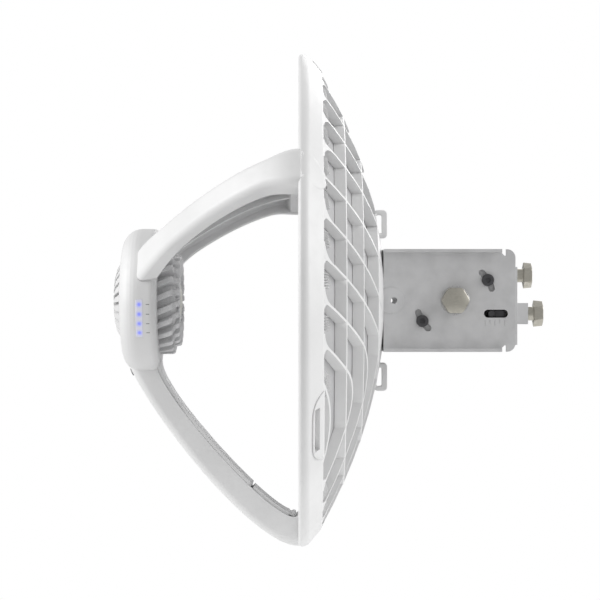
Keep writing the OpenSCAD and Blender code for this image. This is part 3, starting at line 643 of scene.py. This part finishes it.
def fillet_outline(end, side, radius):
    """Fillet between one rib end and the rim's inner wall, in the plane of its own field."""
    steps = 7
    apex = RIB_APEX[abs(end)]
    up = math.copysign(1, end)
    tip = (WALL_R + 1) * Vector((math.cos(math.radians(end)), math.sin(math.radians(end))))
    along = (tip - Vector((apex, 0))).normalized()
    across = Vector((-along.y, along.x)) * side * up
    # The fillet's centre is a radius off the rib's face, where it is a radius off the wall as well
    base = Vector((apex, 0)) + across * (RIB_HALF + radius)
    ahead = base.dot(along)
    reach = -ahead + math.sqrt(ahead * ahead - base.length_squared + (WALL_R - radius) ** 2)
    centre = base + along * reach
    on_rib = centre - across * radius
    on_wall = centre.normalized() * WALL_R
    start = math.atan2(*reversed(on_wall - centre))
    turn = math.remainder(math.atan2(*reversed(on_rib - centre)) - start, 2 * math.pi)
    angles = [start + turn * i / steps for i in range(steps + 1)]
    curve = [centre + radius * Vector((math.cos(angle), math.sin(angle))) for angle in angles]
    inside = on_rib - across * RIB_HALF
    return curve + [inside, tip + along * 0.5, on_wall * (1 + 1 / WALL_R)]


def rib_fillets():
    """Webs that round every corner where a long rib runs into the rim."""
    wide = 14
    tight = 2.6
    # How far below the crests each ring lies, and how far it is drawn in to round the top edge
    profile = ((-9.2, 0), (-0.9, 0), (-0.35, 0.12), (-0.1, 0.4))
    parts = []
    for field in FIELD_ANGLES:
        for end in RIB_ENDS:
            for side in (-1, 1):
                if abs(end) == max(RIB_APEX) and side == 1:
                    # This rib is shared with the next field, which rounds its other side
                    continue
                outline = fillet_outline(end, side, wide if side == 1 else tight)
                middle = sum(outline, Vector((0, 0))) / len(outline)
                rings = []
                for lift, draw in profile:
                    ring = []
                    for point in outline:
                        q = point + (middle - point).normalized() * draw
                        phi = field + math.degrees(math.atan2(q.y, q.x))
                        ring.append(polar(q.length, phi, crest(q.length) + lift))
                    rings.append(ring)
                parts.append(loft(rings))
    make_piece("rib_fillets", *merge(parts), "white_plastic")


def grip_lips():
    """Raised line round every finger slot, in the shape of a lens on the slope behind the rim."""
    half_turn = 9.2
    steps = 28
    near_share = 0.17
    outer = Vector((RIM_R - 2.9, RIM_FRONT + 9.6))
    inner = Vector((RIM_R - 14.4, RIM_FRONT + 19))
    across = (inner - outer).normalized()
    out = Vector((across.y, -across.x))
    section = ((-1.0, -0.4), (-0.4, 0.55), (0.4, 0.55), (1.0, -0.4))
    parts = []
    for field in FIELD_ANGLES:
        rings = []
        for i in range(steps + 1):
            u = -1 + 2 * i / steps
            share = 1 - (1 - near_share) * (1 - abs(u) ** 5)
            middle = outer + (inner - outer) * share
            points = [middle + across * side + out * height for side, height in section]
            rings.append([polar(p.x, field + half_turn * u, p.y) for p in points])
        parts.append(loft(rings))
    make_piece("grip_lips", *merge(parts), "white_plastic")


def rim_comb():
    """Groups of fine bars on the bowl's back, beside the rim in every cell."""
    pitch = math.degrees(2.1 / WALL_R)
    turn = math.degrees(0.5 / WALL_R)
    top_share = 0.6
    depth = 9.1
    parts = []
    for field in FIELD_ANGLES:
        for low_end, high_end in zip(RIB_ENDS, RIB_ENDS[1:]):
            count = round((high_end - low_end) * 0.36 / pitch)
            first = low_end + 0.3 * (high_end - low_end)
            if low_end < 0 < high_end:
                # The wide cell in the middle has one group on one side of the middle line
                count = 9
                first = 7
            for k in range(count):
                phi = field + first + k * pitch
                length = 9 - 3 * k / count
                path = ((0.3, 0.5), (-6, 0.7), (-length, 1.2), (-15, 8.4))
                rings = []
                for off_wall, drop in path:
                    r = WALL_R + off_wall
                    top = crest(r) - drop
                    bottom = crest(r) - depth
                    rings.append([
                        polar(r, phi - turn, bottom),
                        polar(r, phi - turn * top_share, top),
                        polar(r, phi + turn * top_share, top),
                        polar(r, phi + turn, bottom),
                    ])
                parts.append(loft(rings))
    make_piece("rim_comb", *merge(parts), "white_plastic")


# ---------- radio head ----------


def heatsink():
    """Cast back of the head: a core and leaning fins in two steps, each with rounded tips."""
    count = 24
    base = HEAD_BACK - 3.3
    step_x = SINK_TIP - 5.2
    bore_r = 13.4
    seat_r = 45
    core_r = SINK_R - 8
    crown_r = 22
    neck = [(bore_r, base - 3), (seat_r, base - 3), (seat_r, base), (core_r, base), (core_r, step_x - 3)]
    shoulder = arc(SINK_R - 12, step_x - 1, 3, 0, 80, 4)
    crown = [(crown_r, step_x + 2), (crown_r - 1, SINK_TIP - 7)]
    collar = [(16.5, SINK_TIP - 6), (16, SINK_TIP - 1), (bore_r, SINK_TIP - 1)]
    parts = [revolve(neck + shoulder + crown + collar)]

    outline = [(SINK_R - 12, base), (SINK_R, base)]
    outline += arc(SINK_R - 2.4, step_x - 2.4, 2.4, 0, 75, 5)
    outline += [(SINK_R - 6.5, step_x + 0.6)]
    outline += arc(SINK_R - 9, SINK_TIP - 2.1, 2.1, 20, 90, 4)
    outline += [(crown_r, SINK_TIP), (crown_r - 1, step_x - 4)]
    centre = Vector((SINK_R - 14, step_x - 6))
    lean = math.tan(math.radians(24)) / SINK_R
    root_share = 0.62
    # Each ring's distance from the fin's middle plane, and how far its outline is drawn in to round the edge
    edge = ((1.8, 0), (2.3, 0.2), (2.6, 0.7))
    section = [(-offset, inset) for offset, inset in reversed(edge)] + list(edge)
    for i in range(count):
        rings = []
        for offset, inset in section:
            ring = []
            for r, x in outline:
                p = Vector((r, x))
                toward = (centre - p).normalized() * inset
                fin_r = r + toward.x
                fin_x = x + toward.y
                spread = offset * (root_share + (1 - root_share) * fin_r / SINK_R)
                turn = lean * (fin_x - base) + spread / fin_r
                ring.append(polar(fin_r, 360 * i / count + math.degrees(turn), fin_x))
            rings.append(ring)
        parts.append(loft(rings))
    make_piece("finned_heatsink", *merge(parts), "cast_heatsink", ["rear_heatsink"])


def strip_piece(name, slot, spans, x0, x1, r0, r1, nodes=()):
    """Thin rounded strips on the head's side wall, each over its own (start, end) angles."""
    end_inset = 0.35
    edge_x = 0.5
    edge_r = 0.12
    parts = []
    for start, end in spans:
        steps = max(2, round((end - start) * 1.2))
        rings = []
        for i in range(steps + 1):
            a = start + (end - start) * i / steps
            inset = end_inset if i in (0, steps) else 0
            front = x0 + inset
            back = x1 - inset
            rings.append([
                polar(r0, a, front),
                polar(r1 - edge_r, a, front),
                polar(r1, a, x0 + edge_x + inset),
                polar(r1, a, x1 - edge_x - inset),
                polar(r1 - edge_r, a, back),
                polar(r0, a, back),
            ])
        parts.append(loft(rings))
    make_piece(name, *merge(parts), slot, nodes)


def light_strip():
    """Lens that closes its window flush, with a fine tick behind each light. Each tick is a dark grey strip:
    painted shade that stands in for an engraved groove.
    """
    half_turn = LIGHT_PITCH * 2 + 0.15
    half_x = 2.85
    tick_half = 0.28
    strip_piece(
        "light_strip", "light_lens", [(LIGHT_MID - half_turn, LIGHT_MID + half_turn)],
        LIGHT_X - half_x, LIGHT_X + half_x, HEAD_R - 3.5, HEAD_R + 0.1, ["led_lens"],
    )
    # Painted shade: thin dark grey strips, almost flush, take the place of the shade inside engraved tick
    # grooves
    strip_piece(
        "painted_tick_groove_shade", "grey_plastic", [(angle - tick_half, angle + tick_half) for angle in LIGHT_ANGLES],
        LIGHT_X + 5, LIGHT_X + 8.4, HEAD_R - 0.5, HEAD_R + 0.04,
    )


# ---------- build ----------

WHITE = (0.80, 0.80, 0.80)
MATERIALS = {
    "white_plastic": plastic("white_plastic", WHITE, 0.42),
    "inner_white_plastic": plastic("inner_white_plastic", (0.74, 0.74, 0.74), 0.46),
    "reflector_skin": plastic("reflector_skin", (0.50, 0.50, 0.505), 0.5, 0.4),
    "galvanised_plate": steel("galvanised_plate", (0.55, 0.56, 0.57), 0.4, (1, 1, 0.08), 0.85),
    "painted_bracket": painted("painted_bracket", (0.66, 0.66, 0.665), 0.48),
    "cast_clamp": cast("cast_clamp", (0.36, 0.365, 0.37), 0.55),
    "bolt_steel": steel("bolt_steel", (0.52, 0.50, 0.44), 0.34),
    "bright_steel": steel("bright_steel", (0.62, 0.62, 0.62), 0.28),
    "dark_screw": steel("dark_screw", (0.10, 0.10, 0.105), 0.4, (1, 0.08, 1), 0.8),
    "grey_plastic": plastic("grey_plastic", (0.26, 0.26, 0.265), 0.5),
    "cast_heatsink": cast("cast_heatsink", (0.74, 0.74, 0.745), 0.55),
    "black_rubber": rubber("black_rubber", (0.02, 0.02, 0.021)),
    "circuit_board": circuit("circuit_board"),
    "shield_metal": steel("shield_metal", (0.66, 0.66, 0.67), 0.25, (1, 1, 0.1)),
    "horn_brass": steel("horn_brass", (0.60, 0.45, 0.17), 0.28, (1, 0.3, 0.3)),
    "feed_window": plastic("feed_window", (0.70, 0.69, 0.64), 0.4),
    "light_lens": lens("light_lens"),
}

upper_arm("upper_arm_near", 1)
upper_arm("upper_arm_far", -1)
lower_arm()
tie_loops()
rib_fillets()
rim_comb()
grip_lips()
light_strip()
heatsink()

# Edge radii of the small solid parts, which get rounded edges as geometry. The other CAD parts keep the exact
# normals of their surfaces.
ROUNDED = {
    "hub_screws": 0.3,
    "arm_screws": 0.2,
    "arm_latches": 0.3,
    "head_screws": 0.2,
    "pivot_bolts": 0.4,
    "pivot_washers": 0.25,
    "pivot_nuts": 0.35,
    "lock_screws": 0.3,
    "lock_nuts": 0.25,
    "elevation_screw": 0.4,
    "azimuth_screw": 0.4,
    "clamp_bolts": 0.3,
    "clamp_nuts": 0.3,
    "azimuth_stud_nuts": 0.3,
}

for part in frame["record"]["subparts"]:
    node = frame["nodes"][part["node"]]
    slot = part["material_slot"]
    node.data.materials.clear()
    node.data.materials.append(MATERIALS[slot])
    if part["node"] in ROUNDED:
        round_edges(node, ROUNDED[part["node"]])

# ---------- floor, light and camera ----------


def softbox(name, place, size, power):
    """Round area light that faces the middle of the object."""
    target = Vector((-0.1, 0, 0))
    light = bpy.data.lights.new(name, "AREA")
    light.shape = "DISK"
    light.size = size
    light.energy = power
    lamp = bpy.data.objects.new(name, light)
    lamp.location = place
    lamp.rotation_mode = "QUATERNION"
    lamp.rotation_quaternion = (target - Vector(place)).to_track_quat("-Z", "Y")
    bpy.context.scene.collection.objects.link(lamp)


def studio_floor():
    """Pale disc well under the object. It fades out, so that no horizon line crosses the view."""
    count = 96
    radius = 0.94
    level = cad_low.z - 0.2
    solid_r = 0.55
    gone_r = 1.02
    pale = (0.88, 0.88, 0.88, 1)
    paler = (0.92, 0.92, 0.92, 1)
    turns = [2 * math.pi * i / count for i in range(count)]
    points = [(radius * math.cos(turn), radius * math.sin(turn), level) for turn in turns]
    mesh = bpy.data.meshes.new("studio_floor")
    mesh.from_pydata(points, [], [tuple(range(count))])
    ground = bpy.data.objects.new("studio_floor", mesh)
    bpy.context.scene.collection.objects.link(ground)
    s = Shader("studio_floor")
    s.join(s.mix(s.noise(300, 2), pale, paler), s.body.inputs["Base Color"])
    s.body.inputs["Roughness"].default_value = 0.9
    away = s.add("ShaderNodeVectorMath", operation="LENGTH")
    s.join(s.place, away.inputs[0])
    s.join(s.span(away.outputs["Value"], gone_r, solid_r, 0, 1), s.body.inputs["Alpha"])
    mesh.materials.append(s.mat)


def studio_world():
    """White to the camera, and a softer even light on the object."""
    white = (1, 1, 1, 1)
    fill = 0.5
    world = bpy.data.worlds.new("studio")
    world.use_nodes = True
    tree = world.node_tree
    seen = tree.nodes["Background"]
    seen.inputs["Color"].default_value = white
    lit = tree.nodes.new("ShaderNodeBackground")
    lit.inputs["Color"].default_value = white
    lit.inputs["Strength"].default_value = fill
    path = tree.nodes.new("ShaderNodeLightPath")
    mix = tree.nodes.new("ShaderNodeMixShader")
    tree.links.new(path.outputs["Is Camera Ray"], mix.inputs[0])
    tree.links.new(lit.outputs[0], mix.inputs[1])
    tree.links.new(seen.outputs[0], mix.inputs[2])
    tree.links.new(mix.outputs[0], tree.nodes["World Output"].inputs["Surface"])
    bpy.context.scene.world = world


def studio_camera():
    """Level view from the side. Its place and lens give the photo's size and perspective."""
    camera = bpy.data.cameras.new("camera")
    camera.lens = 114
    camera.sensor_width = 36
    eye = bpy.data.objects.new("camera", camera)
    eye.location = (-0.1232, -1.596, 0.0004)
    eye.rotation_euler = (math.pi / 2, 0, 0)
    bpy.context.scene.collection.objects.link(eye)
    bpy.context.scene.camera = eye


studio_floor()
studio_world()
softbox("left_softbox", (-2.1, -0.35, 0.8), 1.8, 34)
softbox("right_softbox", (1.9, -0.25, 0.8), 1.6, 30)
softbox("back_softbox", (0.6, 1.8, 0.9), 1.6, 14)
studio_camera()
bpy.context.scene.view_settings.view_transform = "Standard"
